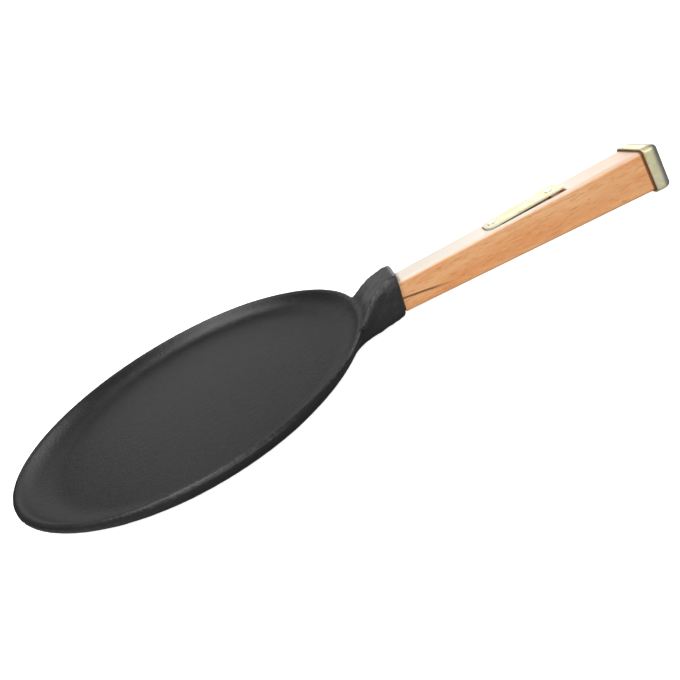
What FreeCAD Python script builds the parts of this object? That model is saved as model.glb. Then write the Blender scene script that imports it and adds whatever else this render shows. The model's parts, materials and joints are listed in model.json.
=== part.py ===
"""Cast-iron pancake pan with a lift-off wooden handle.

The pan is one casting: a shallow round dish with a rectangular socket growing out of its wall.
The handle is a tapered square bar of hardwood whose tenon sits in the socket.  A sprung see-saw
latch in the top of the handle hooks behind a lug inside the socket, and pressing the rear end of
its thumb plate lifts the hook, so that the handle draws out.

Millimetres, +Z up.  The origin is the centre of the flat base, on the hob, and +X points along
the handle.  Pieces of the handle are drawn in the handle's own frame (u along the bar from the
mouth of the socket to the tail, v across, w up), which their Placement tilts and lifts.
"""

import FreeCAD, Part
import math
import os

import Sketcher

# Driving dimensions: alias, value in millimetres or degrees, meaning.
DIMENSIONS = (
    ("pan_radius", 120.4, "outside radius just under the rim"),
    ("pan_height", 15.0, "base to rim"),
    ("wall_bend", 24.0, "outside radius of the wall, from the base to just under the rim"),
    ("rim_round", 2.0, "outside rounding of the rim"),
    ("floor_thickness", 4.2, "thickness of the floor"),
    ("wall_slope", 55.0, "steepest slope of the wall inside, degrees"),
    ("lip_round", 2.0, "inside rounding of the rim"),
    ("mouth_reach", 146.2, "centre of the socket's mouth, from the pan's axis"),
    ("mouth_height", 16.1, "centre of the socket's mouth, above the hob"),
    ("handle_tilt", 6.3, "rise of the handle, degrees"),
    ("mouth_slant", 9.0, "lean of the mouth from square to the handle, degrees"),
    ("flare_end_reach", 152.0, "where the arcs of the socket's sides end, beyond the mouth"),
    ("flare_end_half", 11.0, "half the socket's width at that point"),
    ("socket_flare", 70.0, "plan radius of the socket's sides"),
    ("flare_root_reach", 104.0, "where the socket's sides run into the wall, along X"),
    ("flare_root_half", 45.0, "the same, across"),
    ("core_reach", 80.0, "inner end of the socket's block, inside the floor, along X"),
    ("core_half", 25.0, "half the width of that end"),
    ("socket_top", 31.0, "top of the socket's ramp, above the hob"),
    ("socket_clearance", 3.0, "underside of the socket above the hob"),
    ("ramp_radius", 36.0, "side radius of the ramp from the rim to the socket's top"),
    ("socket_bottom_round", 4.0, "rounding of the socket's lower edges"),
    ("socket_top_round", 0.6, "rounding of the socket's upper edges"),
    ("tenon_length", 14.5, "length of the tenon"),
    ("tenon_height", 15.6, "height of the tenon"),
    ("tenon_width", 14.0, "width of the tenon"),
    ("tenon_raise", 0.6, "tenon's centre above the handle's axis"),
    ("tenon_gap", 0.35, "clearance round the tenon"),
    ("bore_depth", 16.5, "depth of the socket along the handle"),
    ("lug_height", 2.4, "height of the catch lug on the socket's floor"),
    ("lug_width", 6.0, "width of the catch lug"),
    ("lug_back", -12.4, "steep face of the lug, along the handle"),
    ("lug_front", -8.0, "foot of the lug's slope, along the handle"),
    ("lug_crest", 1.8, "flat crest of the lug"),
    ("lug_toe", 0.3, "height of the foot of the lug's slope"),
    ("hook_tip", -14.6, "end of the latch strip's hook, along the handle"),
    ("grip_length", 152.6, "bar showing between the socket and the tail cap"),
    ("grip_front_height", 21.0, "height of the bar at the socket"),
    ("grip_tail_height", 25.2, "height of the bar at the tail cap"),
    ("grip_front_width", 18.8, "width of the bar at the socket"),
    ("grip_tail_width", 20.6, "width of the bar at the tail cap"),
    ("grip_edge", 2.2, "rounding of the bar's long edges"),
    ("tail_edge", 1.4, "rounding of the bar's tail"),
    ("tail_slant", 8.8, "slant of the tail from square, degrees"),
    ("cap_depth", 6.9, "depth of the tail cap"),
    ("cap_sheet", 1.1, "sheet thickness of the tail cap"),
    ("cap_gap", 0.3, "clearance between the bar and the cap"),
    ("cap_edge", 3.0, "outside rounding of the cap"),
    ("shoulder_gap", 0.3, "gap between the socket's mouth and the bar"),
    ("tail_screw_radius", 1.7, "shank radius of the tail screw"),
    ("tail_screw_length", 17.0, "length of the tail screw under its head"),
    ("tail_head_radius", 3.4, "head radius of the tail screw"),
    ("tail_head_rise", 2.0, "height of the tail screw's head"),
    ("tail_slot_length", 4.2, "length of the cross slot in the head"),
    ("tail_slot_width", 0.8, "width of the cross slot"),
    ("plate_start", 62.0, "front end of the thumb plate, along the bar"),
    ("plate_length", 47.4, "length of the thumb plate"),
    ("plate_width", 13.6, "width of the thumb plate"),
    ("plate_sheet", 1.0, "thickness of the thumb plate"),
    ("plate_front_round", 4.6, "corner radius at the plate's front end"),
    ("plate_rear_round", 1.6, "corner radius at the plate's rear end"),
    ("plate_lift", 2.4, "slope of the thumb plate above the handle's axis, degrees"),
    ("recess_gap", 0.5, "gap round the thumb plate in its recess"),
    ("recess_depth", 2.4, "depth of the recess under the thumb plate"),
    ("pivot_along", 72.0, "latch pivot, along the bar"),
    ("pivot_above", 3.5, "latch pivot, above the handle's axis"),
    ("pin_radius", 2.0, "radius of the pivot pin"),
    ("pin_play", 0.05, "running clearance on the pin"),
    ("eye_radius", 3.7, "outside radius of the latch strip's eye"),
    ("strip_sheet", 1.6, "thickness of the latch strip"),
    ("strip_width", 6.0, "width of the latch strip"),
    ("channel_inside", 7.2, "inside width of the steel channel"),
    ("channel_sheet", 1.2, "sheet thickness of the steel channel"),
    ("channel_start", 62.6, "front end of the steel channel"),
    ("channel_length", 41.4, "length of the steel channel"),
    ("channel_floor", -3.0, "underside of the steel channel"),
    ("channel_height", 11.4, "height of the channel's cheeks"),
    ("channel_fold", 1.0, "outside radius of the channel's folds"),
    ("channel_play", 0.2, "play of the channel in its mortise, at each end"),
    ("front_screw_along", 75.5, "front channel screw, along the bar"),
    ("rear_screw_along", 99.5, "rear channel screw, along the bar"),
    ("screw_radius", 1.25, "shank radius of the channel screws"),
    ("screw_head_radius", 2.5, "head radius of the channel screws"),
    ("screw_head_rise", 1.0, "dome of the channel screws' heads"),
    ("screw_head_rim", 0.5, "edge height of the channel screws' heads"),
    ("screw_length", 6.4, "length of the channel screws under the head"),
    ("spring_along", 88.0, "latch spring, along the bar"),
    ("spring_radius", 2.6, "mean radius of the latch spring"),
    ("spring_wire", 0.7, "wire diameter of the latch spring"),
    ("spring_pitch", 1.9, "pitch of the latch spring"),
    ("stud_radius", 1.6, "radius of the stud inside the spring"),
    ("stud_height", 3.7, "height of the stud above the channel's floor"),
    ("stud_shank", 1.0, "radius of the stud's shank in the floor"),
    ("stud_foot", 1.9, "radius of the stud's riveted foot"),
    ("stud_foot_height", 0.7, "height of the stud's riveted foot"),
    ("front_rivet_along", 4.6, "front plate rivet, from the plate's front end"),
    ("rear_rivet_along", 41.0, "rear plate rivet, from the plate's front end"),
    ("rivet_radius", 1.0, "shank radius of the plate rivets"),
    ("rivet_head", 2.1, "head radius of the plate rivets"),
    ("rivet_rise", 0.4, "height of a rivet's head"),
    ("rivet_foot", 0.5, "height of a rivet's foot under the strip"),
)


class Size:
    """A dimension that carries its number together with its spreadsheet formula."""

    def __init__(self, number, formula):
        self.number = float(number)
        self.formula = formula

    def __add__(self, other):
        return combine(self, other, "+", lambda a, b: a + b)

    def __radd__(self, other):
        return combine(other, self, "+", lambda a, b: a + b)

    def __sub__(self, other):
        return combine(self, other, "-", lambda a, b: a - b)

    def __rsub__(self, other):
        return combine(other, self, "-", lambda a, b: a - b)

    def __mul__(self, other):
        return combine(self, other, "*", lambda a, b: a * b)

    def __rmul__(self, other):
        return combine(other, self, "*", lambda a, b: a * b)

    def __truediv__(self, other):
        return combine(self, other, "/", lambda a, b: a / b)

    def __neg__(self):
        return combine(-1, self, "*", lambda a, b: a * b)


def as_size(value):
    return value if isinstance(value, Size) else Size(value, "%.6g" % value)


def combine(left, right, sign, work):
    left = as_size(left)
    right = as_size(right)
    formula = "(%s) %s (%s)" % (left.formula, sign, right.formula)
    return Size(work(left.number, right.number), formula)


def cosine(angle):
    return Size(math.cos(math.radians(angle.number)), "cos(%s)" % angle.formula)


def sine(angle):
    return Size(math.sin(math.radians(angle.number)), "sin(%s)" % angle.formula)


def tangent(angle):
    return Size(math.tan(math.radians(angle.number)), "tan(%s)" % angle.formula)


def square(value):
    return value * value


def root(value):
    return Size(math.sqrt(value.number), "sqrt(%s)" % value.formula)


class Dimensions:
    """The driving dimensions, read as attributes."""


def write_sheet(doc):
    sheet = doc.addObject("Spreadsheet::Sheet", "Dims")
    dims = Dimensions()
    for row, (alias, value, meaning) in enumerate(DIMENSIONS, start=1):
        sheet.set("A%d" % row, meaning)
        sheet.set("B%d" % row, "%g" % value)
        sheet.setAlias("B%d" % row, alias)
        setattr(dims, alias, Size(value, "Dims." + alias))
    doc.recompute()
    return dims


doc = FreeCAD.newDocument("PancakePan")
d = write_sheet(doc)
SUB_PARTS = []
SPARE = 10
THROUGH = 60
TOUCH = 0.01


# ---------------------------------------------------------------- drawing helpers

def bind(obj, path, size):
    """Tie one property of an object to its formula."""
    obj.setExpression(path, as_size(size).formula)


def new_body(name):
    body = doc.addObject("PartDesign::Body", name)
    body.Label = name
    SUB_PARTS.append(body)
    return body


def seat_on_handle(obj):
    """Put an object that is drawn in the handle's frame in its place."""
    place = FreeCAD.Vector(d.mouth_reach.number, 0, d.mouth_height.number)
    turn = FreeCAD.Rotation(FreeCAD.Vector(0, -1, 0), d.handle_tilt.number)
    obj.Placement = FreeCAD.Placement(place, turn)
    bind(obj, ".Placement.Base.x", d.mouth_reach)
    bind(obj, ".Placement.Base.z", d.mouth_height)
    bind(obj, ".Placement.Rotation.Angle", d.handle_tilt)


def new_sketch(body, name, plane, shift=(0, 0, 0), turn=None, about=(0, 0, 1)):
    """A sketch on one of the body's origin planes, moved by shift and turned by an angle."""
    sketch = body.newObject("Sketcher::SketchObject", name)
    support = [item for item in body.Origin.OriginFeatures if item.Role == plane][0]
    sketch.AttachmentSupport = [(support, "")]
    sketch.MapMode = "FlatFace"
    shift = [as_size(value) for value in shift]
    base = FreeCAD.Vector(*[value.number for value in shift])
    angle = as_size(turn) if turn is not None else Size(0, "0")
    rotation = FreeCAD.Rotation(FreeCAD.Vector(*about), angle.number)
    sketch.AttachmentOffset = FreeCAD.Placement(base, rotation)
    for axis, value in zip("xyz", shift):
        bind(sketch, ".AttachmentOffset.Base." + axis, value)
    if turn is not None:
        bind(sketch, ".AttachmentOffset.Rotation.Angle", angle)
    return sketch


def pin_point(sketch, geometry, end, x, y):
    """Dimension one end of a line or arc from the sketch's origin."""
    for kind, size, axis in (("DistanceX", x, -2), ("DistanceY", y, -1)):
        if size.formula == "0":
            sketch.addConstraint(Sketcher.Constraint("PointOnObject", geometry, end, axis))
            continue
        index = sketch.addConstraint(Sketcher.Constraint(kind, -1, 1, geometry, end, size.number))
        bind(sketch, "Constraints[%d]" % index, size)


def arc_between(start, end, radius):
    """The short arc from start to end: a positive radius keeps its centre on the left."""
    chord = end - start
    size = abs(radius)
    reach = math.sqrt(max(size ** 2 - chord.Length ** 2 / 4, 0))
    left = FreeCAD.Vector(-chord.y, chord.x, 0).normalize()
    side = 1 if radius > 0 else -1
    centre = start + chord / 2 + left * reach * side
    first, last = (start, end) if radius > 0 else (end, start)
    first_angle = math.atan2(first.y - centre.y, first.x - centre.x)
    last_angle = math.atan2(last.y - centre.y, last.x - centre.x)
    circle = Part.Circle(centre, FreeCAD.Vector(0, 0, 1), size)
    return Part.ArcOfCircle(circle, first_angle, last_angle)


def outline(sketch, points):
    """A closed loop.  A point is (x, y), or (x, y, radius) where an arc arrives at it."""
    corners = [(as_size(point[0]), as_size(point[1])) for point in points]
    places = [FreeCAD.Vector(x.number, y.number, 0) for x, y in corners]
    starts = []
    ends = []
    first = sketch.GeometryCount
    for number, point in enumerate(points):
        start = places[number - 1]
        end = places[number]
        if len(point) == 2:
            sketch.addGeometry(Part.LineSegment(start, end), False)
            starts.append(1)
            ends.append(2)
        else:
            radius = as_size(point[2])
            sketch.addGeometry(arc_between(start, end, radius.number), False)
            starts.append(1 if radius.number > 0 else 2)
            ends.append(2 if radius.number > 0 else 1)
    for number, (x, y) in enumerate(corners):
        following = (number + 1) % len(corners)
        joint = Sketcher.Constraint("Coincident", first + number, ends[number],
                                    first + following, starts[following])
        sketch.addConstraint(joint)
        pin_point(sketch, first + number, ends[number], x, y)
    for number, point in enumerate(points):
        if len(point) == 3:
            radius = as_size(point[2])
            positive = radius if radius.number > 0 else -radius
            index = sketch.addConstraint(
                Sketcher.Constraint("Radius", first + number, positive.number))
            bind(sketch, "Constraints[%d]" % index, positive)


def dome_radius(half_width, rise):
    """Radius of the arc that rises so far over half its chord."""
    return (half_width * half_width + rise * rise) / (2 * rise)


def rectangle(sketch, width, height, x=0, y=0):
    """A rectangle centred on (x, y)."""
    half = as_size(width) / 2
    tall = as_size(height) / 2
    outline(sketch, [(x - half, y - tall), (x + half, y - tall),
                     (x + half, y + tall), (x - half, y + tall)])


def circle(sketch, radius, x=0, y=0):
    radius = as_size(radius)
    x = as_size(x)
    y = as_size(y)
    centre = FreeCAD.Vector(x.number, y.number, 0)
    ring = sketch.addGeometry(Part.Circle(centre, FreeCAD.Vector(0, 0, 1), radius.number), False)
    pin_point(sketch, ring, 3, x, y)
    index = sketch.addConstraint(Sketcher.Constraint("Radius", ring, radius.number))
    bind(sketch, "Constraints[%d]" % index, radius)


def extrude(body, kind, sketch, length, symmetric=False, backwards=False):
    """A Pad or a Pocket of one sketch, checked for having changed the solid."""
    before = body.Shape.Volume if body.Tip and body.Tip != sketch else 0
    feature = body.newObject("PartDesign::" + kind, sketch.Name + kind)
    feature.Profile = sketch
    feature.SideType = "Symmetric" if symmetric else "One side"
    feature.Reversed = backwards
    bind(feature, "Length", length)
    doc.recompute()
    check_change(body, feature, before, kind == "Pocket")
    return feature


def spin(body, kind, sketch, axis="V_Axis"):
    """A Revolution or a Groove of one sketch about one of its own axes."""
    before = body.Shape.Volume if body.Tip and body.Tip != sketch else 0
    feature = body.newObject("PartDesign::" + kind, sketch.Name + kind)
    feature.Profile = sketch
    feature.ReferenceAxis = (sketch, [axis])
    feature.Angle = 360
    doc.recompute()
    check_change(body, feature, before, kind == "Groove")
    return feature


def check_change(body, feature, before, removes):
    after = body.Shape.Volume
    if removes and not after < before - 0.01:
        raise RuntimeError("%s cut nothing" % feature.Name)
    if not removes and not after > before + 0.01:
        raise RuntimeError("%s added nothing" % feature.Name)


def round_edges(body, name, radius, wanted):
    """Fillet every edge of the body's tip for which wanted(edge) holds."""
    base = body.Tip
    names = ["Edge%d" % (number + 1) for number, edge in enumerate(base.Shape.Edges)
             if wanted(edge)]
    if not names:
        raise RuntimeError("%s found no edge" % name)
    feature = body.newObject("PartDesign::Fillet", name)
    feature.Base = (base, names)
    bind(feature, "Radius", radius)
    doc.recompute()
    if not feature.isValid() or not feature.Shape.isValid():
        raise RuntimeError("%s failed" % name)
    return feature


def runs_along(edge, axis, least):
    """True for a straight edge, at least so long, that runs mainly along one axis."""
    if edge.Closed or edge.Length < least:
        return False
    step = edge.lastVertex().Point - edge.firstVertex().Point
    return abs(getattr(step, axis)) > 0.9 * edge.Length


# ---------------------------------------------------------------- the handle's measures

HEIGHT_TAPER = (d.grip_tail_height - d.grip_front_height) / d.grip_length
WIDTH_TAPER = (d.grip_tail_width - d.grip_front_width) / d.grip_length
CHANNEL_TOP = d.channel_floor + d.channel_height
CHANNEL_SEAT = d.channel_floor + d.channel_sheet
STRIP_SEAT = d.pivot_above + d.eye_radius
TENON_LOW = d.tenon_raise - d.tenon_height / 2
SOCKET_FLOOR = TENON_LOW - d.tenon_gap


def grip_height_at(along):
    return d.grip_front_height + HEIGHT_TAPER * along


def grip_width_at(along):
    return d.grip_front_width + WIDTH_TAPER * along


def grip_top_at(along):
    return grip_height_at(along) / 2


# ---------------------------------------------------------------- the pan

def make_pan_casting():
    """The dish and the socket, cast in one: the sides of the socket flare into the wall."""
    body = new_body("pan_casting")

    plan = new_sketch(body, "socket_plan", "XY_Plane", (0, 0, d.socket_clearance))
    outline(plan, [
        (d.core_reach, -d.core_half),
        (d.flare_root_reach, -d.flare_root_half),
        (d.flare_end_reach, -d.flare_end_half, -d.socket_flare),
        (d.flare_end_reach, d.flare_end_half),
        (d.flare_root_reach, d.flare_root_half, -d.socket_flare),
        (d.core_reach, d.core_half),
    ])
    extrude(body, "Pad", plan, d.socket_top + SPARE)
    lowest = d.socket_clearance.number
    furthest = d.flare_end_reach.number
    round_edges(body, "SocketBottomRound", d.socket_bottom_round,
                lambda edge: edge.BoundBox.ZMax < lowest + TOUCH
                and edge.BoundBox.XMax > furthest - TOUCH and edge.BoundBox.XLength > 1)

    dish = new_sketch(body, "dish_profile", "XZ_Plane")
    crest = d.pan_radius - d.rim_round
    bend_drop = d.wall_bend - d.pan_height + d.rim_round
    bend_reach = root(square(d.wall_bend - d.rim_round) - square(bend_drop))
    base_radius = crest - bend_reach
    share = d.wall_bend / (d.wall_bend - d.rim_round)
    outline(dish, [
        (0, 0),
        (base_radius, 0),
        (base_radius + bend_reach * share, d.wall_bend - bend_drop * share, d.wall_bend),
        (crest, d.pan_height, d.rim_round),
        (0, d.pan_height),
    ])
    spin(body, "Revolution", dish)

    hollow = new_sketch(body, "hollow_profile", "XZ_Plane")
    cove = d.wall_bend - d.floor_thickness
    lean_in = sine(d.wall_slope)
    lean_down = 1 - cosine(d.wall_slope)
    outline(hollow, [
        (0, d.floor_thickness),
        (base_radius, d.floor_thickness),
        (base_radius + cove * lean_in, d.floor_thickness + cove * lean_down, cove),
        (crest - d.lip_round * lean_in, d.pan_height - d.lip_round * lean_down),
        (crest, d.pan_height, -d.lip_round),
        (crest + 1, d.pan_height),
        (d.flare_end_reach, d.socket_top, -d.ramp_radius),
        (d.flare_end_reach + SPARE, d.socket_top),
        (d.flare_end_reach + SPARE, d.socket_top + 2 * SPARE),
        (0, d.socket_top + 2 * SPARE),
    ])
    spin(body, "Groove", hollow)

    def on_axis(name):
        seat = (d.mouth_reach, d.mouth_height, 0)
        return new_sketch(body, name, "XZ_Plane", seat, d.handle_tilt)

    mouth = on_axis("mouth_cut")
    half = THROUGH / 2
    lean = tangent(d.mouth_slant) * half
    outline(mouth, [(-lean, -half), (half, -half), (half, half), (lean, half)])
    extrude(body, "Pocket", mouth, THROUGH, symmetric=True)

    above_rim = d.pan_height.number + 1
    beside = d.tenon_width.number / 2
    round_edges(body, "SocketTopRound", d.socket_top_round,
                lambda edge: edge.CenterOfMass.z > above_rim
                and edge.CenterOfMass.x < d.mouth_reach.number
                and abs(edge.CenterOfMass.y) > beside)

    bore = on_axis("bore_profile")
    rectangle(bore, d.bore_depth * 2, d.tenon_height + 2 * d.tenon_gap, 0, d.tenon_raise)
    extrude(body, "Pocket", bore, d.tenon_width + 2 * d.tenon_gap, symmetric=True)

    lug = on_axis("lug_profile")
    outline(lug, [
        (d.lug_back, SOCKET_FLOOR - 1),
        (d.lug_front, SOCKET_FLOOR - 1),
        (d.lug_front, SOCKET_FLOOR + d.lug_toe),
        (d.lug_back + d.lug_crest, SOCKET_FLOOR + d.lug_height),
        (d.lug_back, SOCKET_FLOOR + d.lug_height),
    ])
    extrude(body, "Pad", lug, d.lug_width, symmetric=True)
    return body


# ---------------------------------------------------------------- the handle

def tail_sketch(body, name, along):
    """A sketch square to the handle but for the slant of its tail, at a distance along it."""
    return new_sketch(body, name, "YZ_Plane", (0, 0, along), d.tail_slant, (-1, 0, 0))


def make_grip():
    """The tapered hardwood bar, with its tenon, the latch's slot and the plate's recess."""
    body = new_body("grip")
    seat_on_handle(body)

    lean = tangent(d.mouth_slant)
    slope = tangent(d.tail_slant)
    end = d.grip_length + d.cap_depth - d.cap_sheet - d.cap_gap
    front_half = grip_height_at(0) / 2
    rear_half = grip_height_at(end) / 2
    front_low = d.shoulder_gap - lean * front_half
    front_high = d.shoulder_gap + lean * front_half
    rear_low = end + slope * rear_half
    rear_high = end - slope * rear_half
    side = new_sketch(body, "grip_side", "XZ_Plane")
    outline(side, [
        (front_low, -grip_top_at(front_low)),
        (rear_low, -grip_top_at(rear_low)),
        (rear_high, grip_top_at(rear_high)),
        (front_high, grip_top_at(front_high)),
    ])
    extrude(body, "Pad", side, d.grip_tail_width + 2, symmetric=True)

    taper = new_sketch(body, "grip_plan_taper", "XY_Plane")
    beyond = d.grip_length + 2 * SPARE
    outer = d.grip_tail_width
    for across in (1, -1):
        outline(taper, [
            (-SPARE, grip_width_at(-SPARE) / 2 * across),
            (beyond, grip_width_at(beyond) / 2 * across),
            (beyond, outer * across),
            (-SPARE, outer * across),
        ])
    extrude(body, "Pocket", taper, THROUGH, symmetric=True)
    long = d.grip_length.number / 2
    round_edges(body, "GripEdgeRound", d.grip_edge, lambda edge: runs_along(edge, "x", long))
    round_edges(body, "GripTailRound", d.tail_edge,
                lambda edge: edge.BoundBox.XMin > d.grip_length.number - 1)

    tenon = new_sketch(body, "tenon_profile", "XZ_Plane")
    rooted = 4
    rectangle(tenon, d.tenon_length + rooted, d.tenon_height, (rooted - d.tenon_length) / 2,
              d.tenon_raise)
    extrude(body, "Pad", tenon, d.tenon_width, symmetric=True)

    slot = new_sketch(body, "latch_slot", "XZ_Plane")
    tenon_end = -d.tenon_length - 1
    slot_end = d.channel_start + 1
    outline(slot, [
        (tenon_end, TENON_LOW - 1),
        (-0.5, TENON_LOW - 1),
        (2.0, TENON_LOW + 0.6),
        (slot_end, d.channel_floor + 2),
        (slot_end, STRIP_SEAT),
        (tenon_end, 2.6),
    ])
    extrude(body, "Pocket", slot, d.strip_width + 1.0, symmetric=True)

    recess = new_sketch(body, "plate_recess", "XZ_Plane")
    recess_start = d.plate_start - d.recess_gap
    recess_end = d.plate_start + d.plate_length + 2 * d.recess_gap
    outline(recess, [
        (recess_start, grip_top_at(recess_start) - d.recess_depth),
        (recess_end, grip_top_at(recess_end) - d.recess_depth),
        (recess_end, grip_top_at(recess_end) + 3),
        (recess_start, grip_top_at(recess_start) + 3),
    ])
    extrude(body, "Pocket", recess, d.plate_width + 2 * d.recess_gap, symmetric=True)
    round_edges(body, "RecessFrontRound", d.plate_front_round + d.recess_gap,
                lambda edge: runs_along(edge, "z", 1)
                and abs(edge.BoundBox.XMin - recess_start.number) < 0.3 and edge.Length < 3)
    round_edges(body, "RecessRearRound", d.plate_rear_round,
                lambda edge: runs_along(edge, "z", 1)
                and abs(edge.BoundBox.XMax - recess_end.number) < 0.3 and edge.Length < 3)

    mortise = new_sketch(body, "channel_mortise", "XZ_Plane")
    mortise_start = d.channel_start - d.channel_play
    mortise_end = d.channel_start + d.channel_length + d.channel_play
    outline(mortise, [
        (mortise_start, d.channel_floor),
        (mortise_end, d.channel_floor),
        (mortise_end, grip_top_at(mortise_end) + 2),
        (mortise_start, grip_top_at(mortise_start) + 2),
    ])
    outside = d.channel_inside + 2 * d.channel_sheet
    extrude(body, "Pocket", mortise, outside + 0.1, symmetric=True)

    pilots = new_sketch(body, "screw_pilots", "XY_Plane", (0, 0, d.channel_floor))
    circle(pilots, d.screw_radius, d.front_screw_along, 0)
    circle(pilots, d.screw_radius, d.rear_screw_along, 0)
    extrude(body, "Pocket", pilots, d.screw_length + 0.1)
    stud_room = new_sketch(body, "stud_room", "XY_Plane", (0, 0, d.channel_floor))
    circle(stud_room, d.stud_foot + 0.7, d.spring_along, 0)
    extrude(body, "Pocket", stud_room, d.stud_foot_height + 0.2)

    cap_pilot = tail_sketch(body, "tail_screw_pilot", d.grip_length + d.cap_depth)
    circle(cap_pilot, d.tail_screw_radius + 0.05)
    extrude(body, "Pocket", cap_pilot, d.tail_screw_length + 3)
    return body


def cap_block(body, kind, name, width, height, length):
    """A rectangle in the plane of the cap's rim, carried straight along the bar."""
    sketch = tail_sketch(body, name, d.grip_length)
    rectangle(sketch, width, height / cosine(d.tail_slant))
    before = body.Shape.Volume if kind == "Pocket" else 0
    feature = body.newObject("PartDesign::" + kind, name + kind)
    feature.Profile = sketch
    feature.UseCustomVector = True
    feature.AlongSketchNormal = False
    feature.Direction = FreeCAD.Vector(1, 0, 0)
    feature.SideType = "One side"
    bind(feature, "Length", length)
    doc.recompute()
    check_change(body, feature, before, kind == "Pocket")


def past_rim(edge):
    """How far the middle of an edge lies beyond the plane of the cap's rim."""
    slope = tangent(d.tail_slant).number
    return edge.CenterOfMass.x - d.grip_length.number + slope * edge.CenterOfMass.z


def make_tail_cap():
    """A cup pressed from zinc-plated sheet, drawn over the slanted end of the bar."""
    body = new_body("tail_cap")
    seat_on_handle(body)
    tail = d.grip_length + d.cap_depth
    width = grip_width_at(tail) + 2 * d.cap_gap
    height = grip_height_at(tail) + 2 * d.cap_gap
    depth = d.cap_depth - d.cap_sheet
    sheets = 2 * d.cap_sheet
    cap_block(body, "Pad", "cap_outside", width + sheets, height + sheets, d.cap_depth)
    cap_block(body, "Pocket", "cap_inside", width, height, depth)
    within = width.number / 2 + 0.01
    round_edges(body, "CapInsideRound", d.cap_edge - d.cap_sheet,
                lambda edge: past_rim(edge) > 1 and abs(edge.CenterOfMass.y) < within
                and past_rim(edge) < depth.number + 0.1)
    round_edges(body, "CapRound", d.cap_edge,
                lambda edge: past_rim(edge) > depth.number + 0.5
                or (past_rim(edge) > 1 and abs(edge.CenterOfMass.y) > within + 0.5))
    hole = tail_sketch(body, "cap_hole", tail)
    circle(hole, d.tail_screw_radius + 0.1)
    extrude(body, "Pocket", hole, (d.cap_sheet + 2) * 2, symmetric=True)
    return body


def make_tail_screw():
    """The round-head cross-slot screw, square to the slanted face of the cap."""
    body = new_body("tail_screw")
    seat_on_handle(body)
    seat = (d.grip_length + d.cap_depth, 0, 0)
    profile = new_sketch(body, "tail_screw_profile", "XZ_Plane", seat, d.tail_slant)
    outline(profile, [
        (-d.tail_screw_length - 2, 0),
        (d.tail_head_rise, 0),
        (0, d.tail_head_radius, dome_radius(d.tail_head_radius, d.tail_head_rise)),
        (0, d.tail_screw_radius),
        (-d.tail_screw_length, d.tail_screw_radius),
    ])
    spin(body, "Revolution", profile, "H_Axis")
    long = d.tail_slot_length
    narrow = d.tail_slot_width
    for name, height, width in (("upright", long, narrow), ("level", narrow, long)):
        cut = new_sketch(body, "tail_slot_" + name, "XZ_Plane", seat, d.tail_slant)
        rectangle(cut, 2, height, d.tail_head_rise, 0)
        extrude(body, "Pocket", cut, width, symmetric=True)
    return body


# ---------------------------------------------------------------- the latch

def make_latch_channel():
    """The folded steel channel in the bar that carries the pivot and the spring."""
    body = new_body("latch_channel")
    seat_on_handle(body)
    section = new_sketch(body, "channel_section", "YZ_Plane", (0, 0, d.channel_start))
    inside = d.channel_inside / 2
    outside = inside + d.channel_sheet
    outline(section, [
        (-outside, d.channel_floor),
        (outside, d.channel_floor),
        (outside, CHANNEL_TOP),
        (inside, CHANNEL_TOP),
        (inside, CHANNEL_SEAT),
        (-inside, CHANNEL_SEAT),
        (-inside, CHANNEL_TOP),
        (-outside, CHANNEL_TOP),
    ])
    extrude(body, "Pad", section, d.channel_length)
    outer = outside.number
    round_edges(body, "ChannelFold", d.channel_fold,
                lambda edge: runs_along(edge, "x", 10)
                and abs(edge.BoundBox.ZMin - d.channel_floor.number) < 0.01
                and abs(abs(edge.BoundBox.YMin) - outer) < 0.01)
    pivot = new_sketch(body, "pivot_holes", "XZ_Plane")
    circle(pivot, d.pin_radius, d.pivot_along, d.pivot_above)
    extrude(body, "Pocket", pivot, 20, symmetric=True)
    floor = new_sketch(body, "floor_holes", "XY_Plane", (0, 0, CHANNEL_SEAT))
    circle(floor, d.screw_radius + 0.05, d.front_screw_along, 0)
    circle(floor, d.screw_radius + 0.05, d.rear_screw_along, 0)
    circle(floor, d.stud_shank, d.spring_along, 0)
    extrude(body, "Pocket", floor, 3)
    return body


def make_channel_screws():
    """Two round-head wood screws through the floor of the channel."""
    body = new_body("channel_screws")
    seat_on_handle(body)
    tip = CHANNEL_SEAT - d.screw_length
    rim = CHANNEL_SEAT + d.screw_head_rim
    for number, along in enumerate((d.front_screw_along, d.rear_screw_along), start=1):
        profile = new_sketch(body, "channel_screw_%d" % number, "XZ_Plane", (along, 0, 0))
        outline(profile, [
            (0, tip - 1),
            (d.screw_radius, tip),
            (d.screw_radius, CHANNEL_SEAT),
            (d.screw_head_radius, CHANNEL_SEAT),
            (d.screw_head_radius, rim),
            (0, rim + d.screw_head_rise, dome_radius(d.screw_head_radius, d.screw_head_rise)),
        ])
        spin(body, "Revolution", profile)
    return body


def make_pivot_pin():
    body = new_body("pivot_pin")
    seat_on_handle(body)
    profile = new_sketch(body, "pivot_pin_profile", "XZ_Plane")
    circle(profile, d.pin_radius, d.pivot_along, d.pivot_above)
    extrude(body, "Pad", profile, d.channel_inside + 2 * d.channel_sheet, symmetric=True)
    round_edges(body, "PinEnds", 0.3, lambda edge: edge.Closed)
    return body


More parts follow.
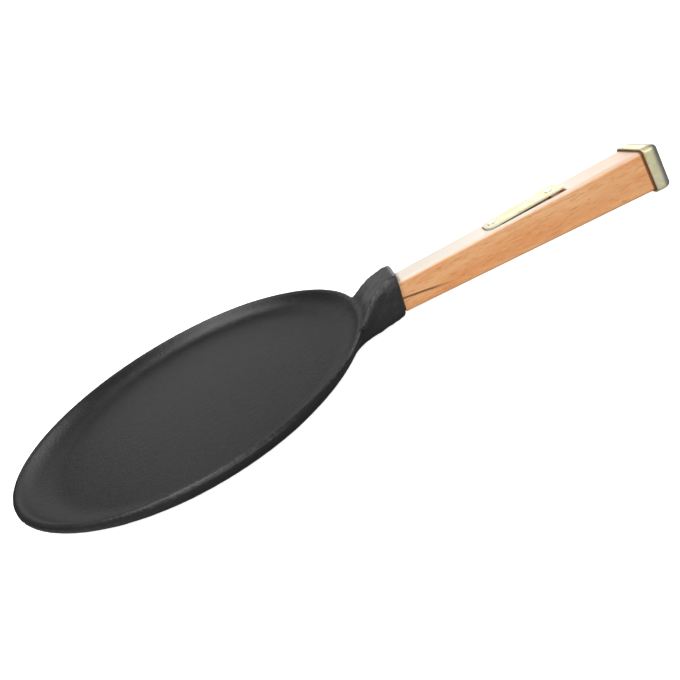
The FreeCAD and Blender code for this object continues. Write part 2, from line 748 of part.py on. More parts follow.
def make_spring_stud():
    """The stud riveted into the channel's floor that keeps the spring in place."""
    body = new_body("spring_stud")
    seat_on_handle(body)
    foot = d.channel_floor - d.stud_foot_height
    top = CHANNEL_SEAT + d.stud_height
    profile = new_sketch(body, "spring_stud_profile", "XZ_Plane", (d.spring_along, 0, 0))
    outline(profile, [
        (0, foot),
        (d.stud_foot, foot),
        (d.stud_foot, d.channel_floor),
        (d.stud_shank, d.channel_floor),
        (d.stud_shank, CHANNEL_SEAT),
        (d.stud_radius, CHANNEL_SEAT),
        (d.stud_radius, top - 0.5),
        (d.stud_radius - 0.5, top),
        (0, top),
    ])
    spin(body, "Revolution", profile)
    return body


def plate_underside(along):
    """Height of the thumb plate's underside, which slopes up towards the tail."""
    touch = grip_top_at(d.plate_start) + 0.15
    return touch + tangent(d.plate_lift) * (along - d.plate_start)


def make_latch_strip():
    """Spring-steel strip: hook, arm, rolled eye on the pivot, and the leaf under the plate."""
    body = new_body("latch_strip")
    seat_on_handle(body)
    sheet = d.strip_sheet
    hook_low = SOCKET_FLOOR + 0.5
    hook_top = hook_low + d.lug_height
    tip = d.hook_tip
    profile = new_sketch(body, "strip_profile", "XZ_Plane")
    leaf_start = d.plate_start + 2
    leaf_end = d.plate_start + d.plate_length - 3.5
    eye_front = d.pivot_along - d.eye_radius
    neck_front = d.pivot_along - 1.2
    neck_rear = d.pivot_along + 1.2
    neck_low = STRIP_SEAT - 0.4
    outline(profile, [
        (tip, hook_low),
        (tip + sheet, hook_low),
        (tip + sheet, hook_top),
        (d.lug_front, hook_top),
        (eye_front + 1.2, d.pivot_above - 2.7),
        (d.pivot_along + d.eye_radius, d.pivot_above, d.eye_radius + 0.2),
        (neck_rear, neck_low, d.eye_radius + 0.2),
        (neck_rear, plate_underside(neck_rear) - sheet),
        (leaf_end, plate_underside(leaf_end) - sheet),
        (leaf_end, plate_underside(leaf_end)),
        (leaf_start, plate_underside(leaf_start)),
        (leaf_start, plate_underside(leaf_start) - sheet),
        (neck_front, plate_underside(neck_front) - sheet),
        (neck_front, neck_low),
        (eye_front + 0.2, d.pivot_above + 1.4, d.eye_radius + 0.4),
        (d.lug_front, hook_top + sheet),
        (tip, hook_top + sheet),
    ])
    extrude(body, "Pad", profile, d.strip_width, symmetric=True)
    eye = new_sketch(body, "strip_eye", "XZ_Plane")
    circle(eye, d.pin_radius + d.pin_play, d.pivot_along, d.pivot_above)
    extrude(body, "Pocket", eye, 20, symmetric=True)
    drill_for_rivets(body, d.rivet_radius)
    return body


def plate_sketch(body, name, along=0):
    """An upright sketch whose x axis is the thumb plate's underside, from its front end."""
    rise = tangent(d.plate_lift) * along
    corner = (d.plate_start + along, plate_underside(d.plate_start) + rise, 0)
    return new_sketch(body, name, "XZ_Plane", corner, d.plate_lift)


def drill_for_rivets(body, radius):
    """The two holes for the plate's rivets, square to the plate."""
    for name, along in (("front", d.front_rivet_along), ("rear", d.rear_rivet_along)):
        drill = plate_sketch(body, "rivet_drill_" + name, along)
        outline(drill, [(0, -5), (radius, -5), (radius, 5), (0, 5)])
        spin(body, "Groove", drill)


def make_thumb_plate():
    """The stamped plate under the thumb: rounded in front, square behind."""
    body = new_body("thumb_plate")
    seat_on_handle(body)
    blank = plate_sketch(body, "plate_blank")
    length = d.plate_length
    outline(blank, [(0, 0), (length, 0), (length, d.plate_sheet), (0, d.plate_sheet)])
    extrude(body, "Pad", blank, d.plate_width, symmetric=True)
    middle = (d.plate_start + d.plate_length / 2).number
    round_edges(body, "PlateFrontRound", d.plate_front_round,
                lambda edge: runs_along(edge, "z", 0.5) and edge.BoundBox.XMax < middle)
    round_edges(body, "PlateRearRound", d.plate_rear_round,
                lambda edge: runs_along(edge, "z", 0.5) and edge.BoundBox.XMin > middle)
    top = d.plate_sheet.number * 0.9
    round_edges(body, "PlateTopRound", 0.3,
                lambda edge: edge.BoundBox.ZMin - plate_underside(edge.BoundBox.XMin).number > top)
    drill_for_rivets(body, d.rivet_radius)
    return body


def make_plate_rivets():
    """Two flat-head rivets that fasten the thumb plate to the leaf of the latch strip."""
    body = new_body("plate_rivets")
    seat_on_handle(body)
    shank = d.rivet_radius
    head = d.rivet_head
    above = d.plate_sheet
    below = -d.strip_sheet
    for name, along in (("front", d.front_rivet_along), ("rear", d.rear_rivet_along)):
        profile = plate_sketch(body, "rivet_" + name, along)
        outline(profile, [
            (0, below - d.rivet_foot),
            (head - 0.5, below - d.rivet_foot),
            (head - 0.2, below),
            (shank, below),
            (shank, above),
            (head, above),
            (head - 0.2, above + d.rivet_rise - 0.1),
            (0, above + d.rivet_rise),
        ])
        spin(body, "Revolution", profile)
    return body


def make_latch_spring():
    """The coil between the channel's floor and the leaf that keeps the hook down."""
    body = new_body("latch_spring")
    seat_on_handle(body)
    half_wire = d.spring_wire / 2
    foot = CHANNEL_SEAT + half_wire + 0.02
    head = plate_underside(d.spring_along) - d.strip_sheet - half_wire - 0.15
    section = new_sketch(body, "spring_wire", "XZ_Plane", (d.spring_along, 0, 0))
    circle(section, half_wire, d.spring_radius, foot)
    coil = body.newObject("PartDesign::AdditiveHelix", "spring_coil")
    coil.Profile = section
    coil.ReferenceAxis = (section, ["V_Axis"])
    coil.Mode = 0
    bind(coil, "Pitch", d.spring_pitch)
    bind(coil, "Height", head - foot)
    doc.recompute()
    check_change(body, coil, 0, False)
    return body


# ---------------------------------------------------------------- build, check, write

def check_objects():
    for obj in doc.Objects:
        for state in obj.State:
            if state in ("Invalid", "Error"):
                raise RuntimeError("%s is %s" % (obj.Name, state))
    for part in SUB_PARTS:
        if part.Shape.isNull() or not part.Shape.isValid():
            raise RuntimeError("%s has no valid shape" % part.Label)


def write_parts():
    os.makedirs("parts", exist_ok=True)
    for part in SUB_PARTS:
        part.Shape.exportStep("parts/%s.step" % part.Label)
        solids = len(part.Shape.Solids)
        print("%-16s %2d solid(s) %12.1f mm3" % (part.Label, solids, part.Shape.Volume))


make_pan_casting()
make_grip()
make_tail_cap()
make_tail_screw()
make_latch_channel()
make_channel_screws()
make_pivot_pin()
make_spring_stud()
make_latch_strip()
make_thumb_plate()
make_plate_rivets()
make_latch_spring()
doc.recompute()
check_objects()
write_parts()
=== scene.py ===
# %% [markdown]
# # A cast-iron pancake pan with a lift-off wooden handle
# The pan is one iron casting: a low dish, with a socket that flares out of its wall. A tapered
# bar of beech sits in the socket. A zinc-plated cap closes its tail, and the thumb plate of a
# latch is let into its top. The CAD pieces bring every place and size. This lesson softens the
# edges that a drawing leaves sharp, and gives each piece its finish.

# %% Load the frame
import json
import math

import bpy
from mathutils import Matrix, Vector

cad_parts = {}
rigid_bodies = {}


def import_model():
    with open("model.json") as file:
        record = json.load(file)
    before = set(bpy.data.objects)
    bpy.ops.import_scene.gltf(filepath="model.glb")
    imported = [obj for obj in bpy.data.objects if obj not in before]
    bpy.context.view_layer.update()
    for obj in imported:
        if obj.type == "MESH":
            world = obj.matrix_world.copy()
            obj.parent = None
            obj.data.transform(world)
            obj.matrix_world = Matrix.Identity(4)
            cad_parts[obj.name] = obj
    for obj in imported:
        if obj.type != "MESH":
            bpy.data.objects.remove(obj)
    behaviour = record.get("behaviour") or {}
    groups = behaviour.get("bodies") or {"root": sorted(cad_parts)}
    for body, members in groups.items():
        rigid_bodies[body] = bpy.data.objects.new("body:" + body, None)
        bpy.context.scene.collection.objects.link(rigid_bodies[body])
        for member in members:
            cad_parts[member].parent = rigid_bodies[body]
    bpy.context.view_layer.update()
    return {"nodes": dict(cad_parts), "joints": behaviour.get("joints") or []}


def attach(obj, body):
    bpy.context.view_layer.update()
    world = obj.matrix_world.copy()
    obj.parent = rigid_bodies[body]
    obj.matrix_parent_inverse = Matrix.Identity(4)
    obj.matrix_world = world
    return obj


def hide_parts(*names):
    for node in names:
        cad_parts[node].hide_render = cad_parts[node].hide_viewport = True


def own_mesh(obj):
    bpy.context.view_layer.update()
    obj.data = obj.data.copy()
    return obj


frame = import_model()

nodes = frame["nodes"]
joints = {joint["name"]: joint for joint in frame["joints"]}
print("pieces from the frame:", ", ".join(sorted(nodes)))

# %% [markdown]
# ## Shader maths
# A material is a graph of nodes, which could be drawn by hand in the shader editor. Here it is
# written as formulas, because one line then says what a long chain of boxes hides. A small class
# wraps the output of a node, and lets Python's own operators add the Math nodes.

# %% An output that takes part in formulas
class Wire:
    """One output of a node."""

    def __init__(self, graph, socket):
        self.graph = graph
        self.socket = socket

    def math(self, operation, *others):
        return self.graph.add("ShaderNodeMath", {"operation": operation}, self, *others)

    def __add__(self, other):
        return self.math("ADD", other)

    def __sub__(self, other):
        return self.math("SUBTRACT", other)

    def __rsub__(self, other):
        return self.graph.add("ShaderNodeMath", {"operation": "SUBTRACT"}, other, self)

    def __mul__(self, other):
        return self.math("MULTIPLY", other)

    __radd__ = __add__
    __rmul__ = __mul__

    def size(self):
        """The value without its sign."""
        return self.math("ABSOLUTE")

    def between(self, low, high):
        """Rise from 0 to 1, smoothly, as the value goes from low to high."""
        settings = {"interpolation_type": "SMOOTHSTEP"}
        return self.graph.add("ShaderNodeMapRange", settings, self, low, high)


print("an output can now be added, subtracted, multiplied and ramped")

# %% A tree of nodes
class Graph:
    """The nodes of a material or of the sky. One method adds any node."""

    def __init__(self, owner, shader="Principled BSDF"):
        owner.use_nodes = True
        self.owner = owner
        self.tree = owner.node_tree
        self.shader = self.tree.nodes[shader]

    def add(self, kind, settings, *values, out=0, **named):
        """Add a node: first its settings, then the values or links of its inputs."""
        node = self.tree.nodes.new(kind)
        for key, value in settings.items():
            setattr(node, key, value)
        for place, value in enumerate(values):
            self.link(node.inputs[place], value)
        for name, value in named.items():
            self.link(node.inputs[name.replace("_", " ")], value)
        return Wire(self, node.outputs[out])

    def link(self, socket, value):
        if isinstance(value, Wire):
            self.tree.links.new(value.socket, socket)
        elif value is not None:
            socket.default_value = value

    def set(self, **inputs):
        """Give the main shader its looks."""
        for name, value in inputs.items():
            self.link(self.shader.inputs[name.replace("_", " ")], value)

    def parts(self, vector):
        """The three numbers of a vector."""
        node = self.add("ShaderNodeSeparateXYZ", {}, vector).socket.node
        return [Wire(self, output) for output in node.outputs]

    def mix(self, factor, low, high):
        """The low colour where the factor is 0, and the high colour where it is 1."""
        mixed = self.add("ShaderNodeMix", {"data_type": "RGBA"}, factor, out=2)
        first, second = mixed.socket.node.inputs[6:8]
        self.link(first, low)
        self.link(second, high)
        return mixed

    def noise(self, place, scale, detail, roughness, distortion=0.0):
        return self.add("ShaderNodeTexNoise", {}, Vector=place, Scale=scale, Detail=detail,
                        Roughness=roughness, Distortion=distortion)

    def bump(self, height, distance, strength, under=None):
        return self.add("ShaderNodeBump", {}, Strength=strength, Distance=distance,
                        Height=height, Normal=under)

    def show(self, output, hidden, seen):
        """One shader faces the camera, and the hidden one lights the pieces."""
        straight = self.add("ShaderNodeLightPath", {})
        either = self.add("ShaderNodeMixShader", {}, straight, hidden, seen)
        self.link(self.tree.nodes[output].inputs["Surface"], either)


def new_material(name):
    return Graph(bpy.data.materials.new(name))


def object_place(graph):
    """Where a point of the surface is, in metres."""
    return graph.add("ShaderNodeTexCoord", {}, out=3)


print("a graph adds any node by its type")

# %% Colours by everyday numbers
def colour(red, green, blue):
    """A colour from 0 to 255 values, turned to the linear light that shaders use."""
    def linear(value):
        value = value / 255
        return value / 12.92 if value <= 0.04045 else ((value + 0.055) / 1.055) ** 2.4
    return (linear(red), linear(green), linear(blue), 1)


print("middle grey is %.3f in linear light" % colour(128, 128, 128)[0])

# %% [markdown]
# ## Places
# Everything is in metres. The pan stands on its base with its middle at the origin, and the
# handle rises along +X. A pattern on the handle could be placed in the scene's own directions,
# but wood and cap are easier to describe along the bar. So the bar gets directions of its own:
# u runs along it from the socket's mouth, v across it, and w up from its axis. The slide joint
# says which way the bar points.

# %% The bar's own directions
MM = 0.001
along = Vector(joints["handle_slide"]["axis"]).normalized()
up = Vector((-along.z, 0, along.x))
tilt = math.atan2(along.z, along.x)
mouth = Vector((146.2, 0, 16.1)) * MM
tail_slant = math.tan(math.radians(8.8))
print("the handle rises by %.1f degrees" % math.degrees(tilt))

# %% The same directions in a shader and in a mesh
def bar_place(graph):
    """Object coordinates, turned into u, v and w."""
    offset = (-mouth.dot(along), 0, -mouth.dot(up))
    return graph.add("ShaderNodeMapping", {}, Vector=object_place(graph), Location=offset,
                     Rotation=(0, tilt, 0))


def in_bar(point):
    """The u, v and w of a vertex, in millimetres."""
    offset = (point - mouth) / MM
    return offset.dot(along), offset.y, offset.dot(up)


print("the origin lies at u = %.1f, v = %.1f, w = %.1f mm" % in_bar(Vector((0, 0, 0))))

# %% [markdown]
# ## Seasoned iron
# Cast iron keeps the skin of the sand it was poured in: a fine orange peel that breaks up every
# reflection. Seasoning, which is baked oil, turns it to a satin grey black. Pits that small could
# be carved into the mesh, but a bump does the same for far less. Real depth is kept for the
# shapes that an outline shows. The socket catches the most light, so a paler tint is painted along
# its upper edge as a painted highlight. The whole socket is also painted a little paler, as painted
# light for what a bright floor would throw up on it.

# %% Seasoned iron
def seasoned_iron():
    graph = new_material("seasoned_iron")
    place = object_place(graph)
    patches = graph.noise(place, scale=16, detail=3, roughness=0.5)
    blooms = graph.noise(place, scale=45, detail=5, roughness=0.6).between(0.4, 0.75)
    grain = graph.noise(place, scale=1500, detail=3, roughness=0.65)
    peel = graph.noise(place, scale=620, detail=3, roughness=0.6, distortion=0.3)

    u, v, w = graph.parts(bar_place(graph))
    ragged = (graph.noise(place, scale=330, detail=4, roughness=0.7) - 0.5) * (14 * MM)
    crown = w - v.size() * 0.35 + ragged
    # a paler tint painted along the socket's upper edge: a painted highlight for the light it
    # catches
    painted_crown_highlight = crown.between(3.5 * MM, 7.5 * MM) * u.between(-36 * MM, -24 * MM)
    # the whole socket is painted a little paler: painted light for what a bright floor would throw
    # up on it
    socket = u.between(-30 * MM, -16 * MM)

    body = graph.mix(patches, colour(29, 28, 30), colour(36, 35, 36))
    body = graph.mix(painted_crown_highlight * 0.6, body, colour(80, 80, 82))
    body = graph.mix(socket * 0.3, body, colour(62, 63, 64))
    body = graph.mix(blooms * 0.3, body, colour(44, 45, 46))
    satin = patches * 0.08 + blooms * 0.04 + peel * 0.1 + 0.31
    orange_peel = graph.bump(peel, distance=0.0005, strength=0.65)
    skin = graph.bump(grain, distance=0.0002, strength=0.35, under=orange_peel)
    graph.set(Base_Color=body, Roughness=satin, Specular_IOR_Level=0.5, Normal=skin)
    return graph.owner


iron = seasoned_iron()
print("%s has %d nodes" % (iron.name, len(iron.node_tree.nodes)))

# %% [markdown]
# ## Beech
# The bar is sawn along the grain. A picture of wood could be wrapped round it, but a pattern made
# of noise goes right through it and needs no unwrapping. The noise is squeezed across the bar,
# which draws it out into fibres. Short dark flecks are the rays of beech, and the dark vein near
# the socket is a streak of heartwood. The upper and lower edges get a pale tint, most of all by
# the socket. It stands in for the strong light on them, which lamps alone would not give without
# washing out the iron. A dark line is painted on the wood beside the cap's opening, as painted
# shade for the gap under the cap.

# %% Fibres and flecks
GRAIN_SLOPE = math.radians(5)
GRAIN_YAW = 0.02


def drawn_out(graph, bar, lengthwise, crosswise, detail, roughness, distortion=0.0):
    """Noise whose blots are long in the bar's direction."""
    place = graph.add("ShaderNodeMapping", {}, Vector=bar, Rotation=(0, GRAIN_SLOPE, GRAIN_YAW),
                      Scale=(lengthwise, crosswise, crosswise))
    return graph.noise(place, 1.0, detail, roughness, distortion)


print("the grain climbs by %.0f degrees" % math.degrees(GRAIN_SLOPE))

# %% Vein and edges
def heartwood_vein(u, v, w, figure):
    """A thin dark streak on the bar's near side, which starts at the socket and fades out."""
    height = u * -0.146 - 0.6 * MM + (figure - 0.5) * (1.6 * MM)
    streak = 1 - ((w - height).size() + u * 0.006).between(0.3 * MM, 1.05 * MM)
    start = 1 - u.between(16 * MM, 34 * MM)
    near_side = 1 - v.between(-2 * MM, 2 * MM)
    return streak * start * near_side * 0.9


def pale_edges(u, w, figure):
    """The pale upper and lower edges, which follow the taper of the bar."""
    taper = u * 0.012
    pale = 0.9 - u.between(80 * MM, 150 * MM) * 0.4
    upper = (w - taper + (figure - 0.5) * (2.0 * MM)).between(8.4 * MM, 10.8 * MM)
    lower = 1 - (w + taper).between(-10.8 * MM, -8.0 * MM)
    return upper * pale, lower * 0.5


print("the vein and the pale edges are masks along the bar")

# %% Beech
def beech():
    graph = new_material("oiled_beech")
    bar = bar_place(graph)
    u, v, w = graph.parts(bar)
    drift = drawn_out(graph, bar, 14, 90, detail=2, roughness=0.5, distortion=0.6)
    figure = drawn_out(graph, bar, 70, 620, detail=4, roughness=0.7, distortion=1.5)
    fibres = drawn_out(graph, bar, 110, 1700, detail=3, roughness=0.6, distortion=0.4)
    rays = drawn_out(graph, bar, 150, 1500, detail=2, roughness=0.5, distortion=0.5)

    body = graph.mix(drift.between(0.3, 0.7), colour(244, 166, 104), colour(253, 192, 134))
    body = graph.mix(figure.between(0.5, 0.66) * 0.45, body, colour(214, 122, 72))
    body = graph.mix(fibres.between(0.5, 0.66) * 0.45, body, colour(255, 208, 154))
    body = graph.mix(rays.between(0.58, 0.68) * 0.36, body, colour(190, 104, 56))
    body = graph.mix(heartwood_vein(u, v, w, figure), body, colour(104, 64, 34))
    upper, lower = pale_edges(u, w, figure)
    body = graph.mix(upper, body, colour(255, 250, 238))
    body = graph.mix(lower, body, colour(255, 214, 166))
    # a dark line painted on the wood beside the cap's opening: painted shade for the gap under the
    # cap
    painted_gap_shade = (u + w * tail_slant).between(151.0 * MM, 152.0 * MM)
    body = graph.mix(painted_gap_shade * 0.8, body, colour(110, 58, 28))

    pores = graph.bump(fibres, distance=0.00012, strength=0.35)
    graph.set(Base_Color=body, Roughness=fibres * 0.16 + 0.36, Normal=pores)
    return graph.owner


wood = beech()
print("%s has %d nodes" % (wood.name, len(wood.node_tree.nodes)))

# %% [markdown]
# ## Zinc plate and bright steel
# Zinc plating with a yellow passivate is a pale straw-green skin with a soft gleam, and the film
# drifts towards blue and rose where it is thicker. A full metal would mirror the dark foot of the
# sky and lose that colour, so the shader is only partly metallic. The rolled end of the cap gets a
# grey tint, for the dark that it would mirror. Bright steel is a plain metal.

# %% Zinc plate
def zinc_plate():
    graph = new_material("yellow_zinc")
    place = object_place(graph)
    clouding = graph.noise(place, scale=130, detail=3, roughness=0.55, distortion=0.5)
    film = graph.noise(place, scale=60, detail=2, roughness=0.5)
    scratches = graph.noise(place, scale=1100, detail=2, roughness=0.6)
    u, v, w = graph.parts(bar_place(graph))
    rolled_end = (u + w * tail_slant).between(156.0 * MM, 158.8 * MM)

    body = graph.mix(clouding.between(0.35, 0.65), colour(228, 222, 174), colour(244, 238, 204))
    body = graph.mix(film.between(0.5, 0.75) * 0.4, body, colour(222, 214, 222))
    body = graph.mix(rolled_end * 0.85, body, colour(112, 110, 120))
    gleam = clouding * 0.1 + scratches * 0.08 + 0.34
    scored = graph.bump(scratches, distance=0.00004, strength=0.3)
    graph.set(Base_Color=body, Metallic=0.4, Roughness=gleam, Normal=scored)
    return graph.owner


zinc = zinc_plate()
print("%s has %d nodes" % (zinc.name, len(zinc.node_tree.nodes)))

# %% Bright steel
def bright_steel():
    graph = new_material("bright_steel")
    clouding = graph.noise(object_place(graph), scale=300, detail=2, roughness=0.5)
    graph.set(Base_Color=(0.6, 0.6, 0.58, 1), Metallic=1.0, Roughness=clouding * 0.15 + 0.25)
    return graph.owner


steel = bright_steel()
print("%s has %d nodes" % (steel.name, len(steel.node_tree.nodes)))

# %% [markdown]
# ## Tools for shaping
# A CAD node is never changed. To give a piece softer edges, a free copy is made, shaped with
# modifiers that are applied at once, and shown in the node's place. Sculpting by hand would do
# it too, but a modifier with a vertex group does the same work again in every run. The weight of
# a vertex says how much of the modifier it gets, and is worked out from where the vertex is.

# %% Copy, select and apply
def only(obj):
    """Make one object the whole selection, and the active one."""
    bpy.ops.object.select_all(action="DESELECT")
    obj.select_set(True)
    bpy.context.view_layer.objects.active = obj


def copy_of(node, name):
    """A free copy of one exact node, with its faces joined at their edges."""
    only(nodes[node])
    bpy.ops.object.duplicate()
    copy = bpy.context.object
    copy.name = name
    bpy.ops.object.parent_clear(type="CLEAR_KEEP_TRANSFORM")
    bpy.ops.object.mode_set(mode="EDIT")
    bpy.ops.mesh.select_all(action="SELECT")
    bpy.ops.mesh.remove_doubles(threshold=0.002 * MM)
    bpy.ops.object.mode_set(mode="OBJECT")
    return copy


def apply_modifier(obj, kind, **settings):
    modifier = obj.modifiers.new(kind.lower(), kind)
    for name, value in settings.items():
        setattr(modifier, name, value)
    only(obj)
    bpy.ops.object.modifier_apply(modifier=modifier.name)


print("the tools select, copy and apply")

# %% Weights from places
def weigh(obj, name, weight):
    """A vertex group whose weight is worked out from each vertex's place."""
    group = obj.vertex_groups.new(name=name)
    for vertex in obj.data.vertices:
        group.add([vertex.index], weight(vertex.co), "REPLACE")
    return group.name


def rise(value, low, high):
    """A straight slope from 0 at the low end to 1 at the high end."""
    return min(max((value - low) / (high - low), 0.0), 1.0)


def relax(obj, turns, group=""):
    """Even the surface out, by moving each vertex halfway to the middle of its neighbours."""
    apply_modifier(obj, "SMOOTH", factor=0.5, iterations=turns, vertex_group=group)


def swell(obj, height, way, group):
    """Push the weighed part of a piece outwards, or along one axis."""
    apply_modifier(obj, "DISPLACE", strength=height * MM, mid_level=0.0, direction=way,
                   vertex_group=group)


print("halfway up a slope the weight is %.1f" % rise(5, 0, 10))

# %% [markdown]
# ## The casting's soft corners
# Iron poured in sand has no sharp edge: every corner is a little round. A bevel would be the
# first choice, but it fails on a mesh of thin triangles with arcs that run into each other. So
# the copy is rebuilt from small even cells, and then relaxed, a little all over and more where
# the pattern maker's fillets are. The bore stays as it is, since the bar has to fit in it.

# %% Rebuild the casting from small cells
casting = copy_of("pan_casting", "cast_pan")
apply_modifier(casting, "REMESH", mode="VOXEL", voxel_size=1.2 * MM)
relax(casting, 1)
print("the casting is rebuilt with %d faces" % len(casting.data.polygons))

# %% Where the socket softens
def in_bore(point):
    u, v, w = in_bar(point)
    return u > -19 and abs(v) < 8.6 and -10 < w < 10.5


def off_mouth(point):
    """Full everywhere but on the bore and on the upper corners of the mouth."""
    u, v, w = in_bar(point)
    return 0.0 if in_bore(point) else max(rise(-u, 2, 8), rise(-w, -4, 4))


def on_collar(point):
    """Full on the outside of the socket, fading into the wall and towards the mouth."""
    u, v, w = in_bar(point)
    return 0.0 if in_bore(point) else rise(u, -34, -22) * rise(-u, 2, 7)


def near_heel(point):
    """Full along the lower corner of the mouth."""
    u, v, w = in_bar(point)
    return 0.0 if in_bore(point) else rise(u, -9, -5) * rise(-w, 5, 8)


bored = sum(in_bore(vertex.co) for vertex in casting.data.vertices)
print("%d vertices lie in the bore" % bored)

# %% Where the dish softens
def on_lip(point):
    """Full along the pan's lip on the handle's side."""
    x, y, z = point / MM
    return rise(z, 10, 13) * rise(math.hypot(x, y), 104, 110) * rise(x, 20, 60)


def near_root(point):
    """Full in the hollow where the socket's flanks leave the pan's outside."""
    x, y, z = point / MM
    under_rim = rise(x, 70, 84) * rise(-x, -126, -116) * rise(-z, -14, -10)
    return under_rim * rise(abs(y), 18, 26) * rise(math.hypot(x, y), 100, 106)


for name, where, turns in (("firm", off_mouth, 4), ("collar", on_collar, 8),
                           ("heel", near_heel, 45), ("lip", on_lip, 14),
                           ("root", near_root, 90)):
    relax(casting, turns, weigh(casting, name, where))
    print("relaxed %s %d times" % (name, turns))

# %% [markdown]
# ## Rim, brow and skin
# Relaxing eats a little off every edge. It could be held back with smaller cells, but they would
# cost too many faces. So the rim and the brow over the mouth are swelled back to where they were.
# Last, two cloud patterns push the skin in and out: large soft lumps on the socket, and fine
# ripples everywhere but in the bore and at the mouth.

# %% Swell the rim and the brow
def on_rim(point):
    """Full all along the top of the pan's wall."""
    x, y, z = point / MM
    return rise(z, 7, 14) * rise(math.hypot(x, y), 104, 116)


def on_brow(point):
    """Full along the upper edge of the mouth."""
    u, v, w = in_bar(point)
    return 0.0 if in_bore(point) else rise(u, -26, -3) * rise(w, 7, 10)


for name, where, way, height in (("rim", on_rim, "NORMAL", 0.35), ("brow", on_brow, "Z", 1.6)):
    swell(casting, height, way, weigh(casting, name, where))
    print("the %s swells by %.2f mm" % (name, height))

# %% Ripple the skin
def on_skin(point):
    """Full all over, but for the bore and the mouth."""
    return 0.0 if in_bore(point) or in_bar(point)[0] > -2 else 1.0


def clouds(name, size):
    texture = bpy.data.textures.new(name, "CLOUDS")
    texture.noise_scale = size * MM
    texture.noise_depth = 2
    return texture


skin = weigh(casting, "skin", on_skin)
for name, size, height, group in (("lumps", 5, 1.0, "collar"), ("ripples", 4, 0.16, skin)):
    apply_modifier(casting, "DISPLACE", texture=clouds(name, size), strength=height * MM,
                   texture_coords="LOCAL", vertex_group=group)
only(casting)
bpy.ops.object.shade_smooth()
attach(casting, "pan")
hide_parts("pan_casting")
print("the casting has %d faces" % len(casting.data.polygons))

# %% [markdown]
# ## The tail cap's roll
# A cap pressed from sheet has a rolled edge all round its end, and its end is blown out a little
# round the dish where the screw's head sits. The roll could be drawn as a profile and swept
# round, but the cap's corners are already in the exact piece. So its copy is rebuilt from fine
# cells too. Only the outer corner of the end is relaxed, and the end is then pushed outwards.

# %% Where the roll and the crown are
CAP_HALF_WIDTH = 11.7
CAP_HALF_HEIGHT = 14
CAP_FACE = 158.9


def on_roll(point):
    """Full on the outer corner of the cap's end face, which leans by the tail's slant."""
    u, v, w = in_bar(point)
    end = u + tail_slant * w
    inset = min(CAP_HALF_WIDTH - abs(v), CAP_HALF_HEIGHT - abs(w))
    outside = end > CAP_FACE or inset < 0.6
    return rise(end, 156.8, 158.5) * rise(-inset, -4.5, -2.5) if outside else 0.0


def on_crown(point):
    """Full in a ring on the cap's end, and less at its edges, at its opening and at the screw."""
    u, v, w = in_bar(point)
    edge = max(abs(v) / CAP_HALF_WIDTH, abs(w) / CAP_HALF_HEIGHT)
    dish = 0.4 + 0.6 * rise(math.hypot(v, w), 4, 7)
    return dish * rise(u + tail_slant * w, 154, 159) * (1 - 0.5 * min(edge, 1.0) ** 3)


print("the cap is %.1f by %.1f mm at its end" % (2 * CAP_HALF_WIDTH, 2 * CAP_HALF_HEIGHT))

# %% Roll the cap's edge
cap = copy_of("tail_cap", "pressed_cap")
apply_modifier(cap, "REMESH", mode="VOXEL", voxel_size=0.35 * MM)
relax(cap, 3)
relax(cap, 30, weigh(cap, "corner", on_roll))
swell(cap, 2.0, "X", weigh(cap, "crown", on_crown))
only(cap)
bpy.ops.object.shade_smooth()
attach(cap, "handle")
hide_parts("tail_cap")
print("the cap has %d faces" % len(cap.data.polygons))

# %% [markdown]
# ## The latch's spring
# The coil stands in the channel and holds the thumb plate up. It is shut in the bar, but it has to
# give way when the plate is pressed. A spring of bones could bend it, or a squash with an axis and
# a foot that stays put, but this script does neither: the coil is only copied, smoothed and given a
# mesh of its own.

# %% Copy the coil
coil = copy_of("latch_spring", "coil")
only(coil)
bpy.ops.object.shade_smooth_by_angle(angle=math.radians(40))
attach(coil, "handle")
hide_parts("latch_spring")
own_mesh(coil)
print("the coil has %d faces" % len(coil.data.polygons))

# %% [markdown]
# ## Finishes
# Four finishes cover the whole pan: iron, beech, zinc plate and bright steel. Each piece could
# carry its own material, but real makers buy plate and steel by the sheet, so pieces share them.

# %% Give the pieces their finishes
finishes = (
    (iron, (nodes["pan_casting"], casting)),
    (wood, (nodes["grip"],)),
    (zinc, (nodes["tail_cap"], cap, nodes["tail_screw"], nodes["latch_channel"],
            nodes["thumb_plate"])),
    (steel, (nodes["channel_screws"], nodes["pivot_pin"], nodes["spring_stud"],
             nodes["latch_spring"], coil, nodes["latch_strip"], nodes["plate_rivets"])),
)
for material, pieces in finishes:
    for piece in pieces:
        piece.data.materials.clear()
        piece.data.materials.append(material)
    print("%s is on %d pieces" % (material.name, len(pieces)))

# %% [markdown]
# ## Floor
# A catalogue shows a pan on white. A white floor under a lamp still has grey edges and shadows,
# so the floor glows softly towards the camera, and is dull towards everything else. That keeps
# it from lighting the pan from below.

# %% Floor
FLOOR_DROP = 0.2 * MM
bpy.ops.object.select_all(action="DESELECT")
bpy.ops.mesh.primitive_plane_add(size=12, location=(0, 0, -FLOOR_DROP))
floor = bpy.context.object
floor.name = "floor"
paper = new_material("pale_floor")
paper.set(Base_Color=(0.9, 0.9, 0.9, 1), Roughness=0.95, Specular_IOR_Level=0.0,
          Emission_Color=(1, 1, 1, 1), Emission_Strength=0.85)
paper.show("Material Output", hidden=paper.add("ShaderNodeBsdfDiffuse", {}, (0.28, 0.28, 0.28, 1)),
           seen=Wire(paper, paper.shader.outputs[0]))
floor.data.materials.append(paper.owner)
print("the floor is %.0f m wide" % floor.dimensions.x)

# %% [markdown]
# ## Light
# Black iron shows little but what it mirrors. An even white sky would turn the dish into one flat
# grey, so the sky that lights the pieces is dark at its foot and brighter overhead, while the
# camera sees plain white. A long soft box lights the dish from above, and wide weak suns, as from
# windows, bring out the wall, the rim, the socket and the side of the bar.

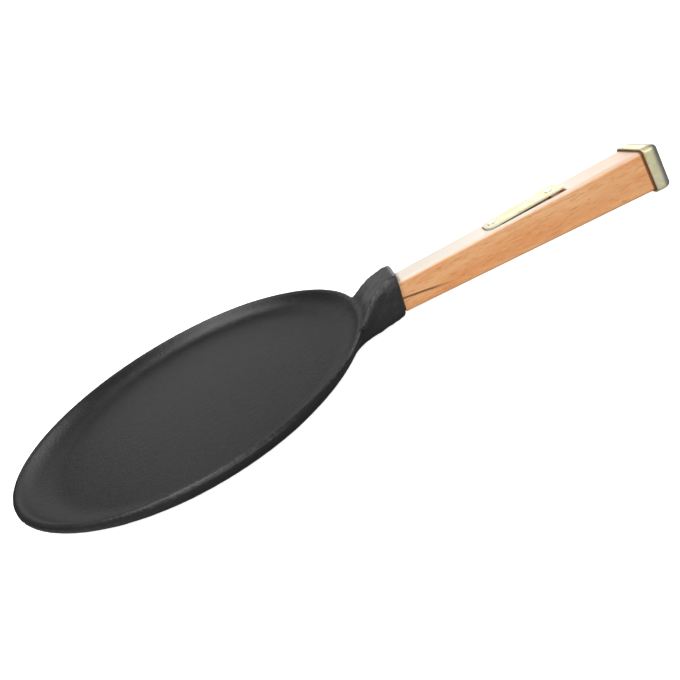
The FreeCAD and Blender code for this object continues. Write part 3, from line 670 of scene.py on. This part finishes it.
# %% Sky
DARK_BELOW, BRIGHT_ABOVE = 0.28, 0.75
FAINT, BRIGHT = 0.04, 0.5
sky = Graph(bpy.data.worlds.new("sky"), "Background")
bpy.context.scene.world = sky.owner
height = sky.parts(sky.add("ShaderNodeTexCoord", {}))[2]
sky.set(Strength=sky.add("ShaderNodeMapRange", {}, height, DARK_BELOW, BRIGHT_ABOVE, FAINT, BRIGHT))
sky.show("World Output", hidden=Wire(sky, sky.shader.outputs[0]),
         seen=sky.add("ShaderNodeBackground", {}, (1, 1, 1, 1)))
print("the sky has %d nodes" % len(sky.tree.nodes))

# %% Lamps
def lamp_of(kind, name, power):
    data = bpy.data.lights.new(name, kind)
    data.energy = power
    lamp = bpy.data.objects.new(name, data)
    bpy.context.scene.collection.objects.link(lamp)
    return lamp


def broad_sun(name, bearing, height, width, power):
    """A sun at a bearing and a height, as wide in the sky as given, all in degrees."""
    lamp = lamp_of("SUN", name, power)
    lamp.data.angle = math.radians(width)
    bearing, height = math.radians(bearing), math.radians(height)
    away = Vector((math.cos(height) * math.cos(bearing), math.cos(height) * math.sin(bearing),
                   math.sin(height)))
    lamp.rotation_euler = away.to_track_quat("Z", "Y").to_euler()


box = lamp_of("AREA", "box", power=12.5)
box.data.shape = "RECTANGLE"
box.data.size, box.data.size_y = 0.4, 1.35
box.location = (-0.3, -0.4, 1.0)
broad_sun("side", bearing=38, height=24, width=16, power=0.2)
broad_sun("low", bearing=112, height=18, width=44, power=0.24)
broad_sun("gleam", bearing=62, height=20, width=40, power=1.0)
broad_sun("fill", bearing=-72, height=14, width=60, power=2.1)
print("%d lamps light the pan" % len(bpy.data.lights))

# %% [markdown]
# ## Camera
# The camera stands close over the near side of the pan, with a wide lens, and is rolled so that
# the handle climbs across the frame. Colours are shown as they are, without a film look, because
# a film look would grey the white floor.

# %% Camera
camera_data = bpy.data.cameras.new("camera")
camera_data.sensor_width = 36
camera_data.lens = 23.29
camera_data.shift_x = 0.014
camera_data.shift_y = -0.0026
camera_data.clip_start = 0.01
camera = bpy.data.objects.new("camera", camera_data)
bpy.context.scene.collection.objects.link(camera)
camera.location = (0.1276, -0.2643, 0.1212)
camera.rotation_euler = [math.radians(angle) for angle in (64.25, 22.09, -2.99)]
bpy.context.scene.camera = camera
bpy.context.scene.view_settings.view_transform = "Standard"
print("the camera is %.0f mm from the pan's middle" % (camera.location.length / MM))
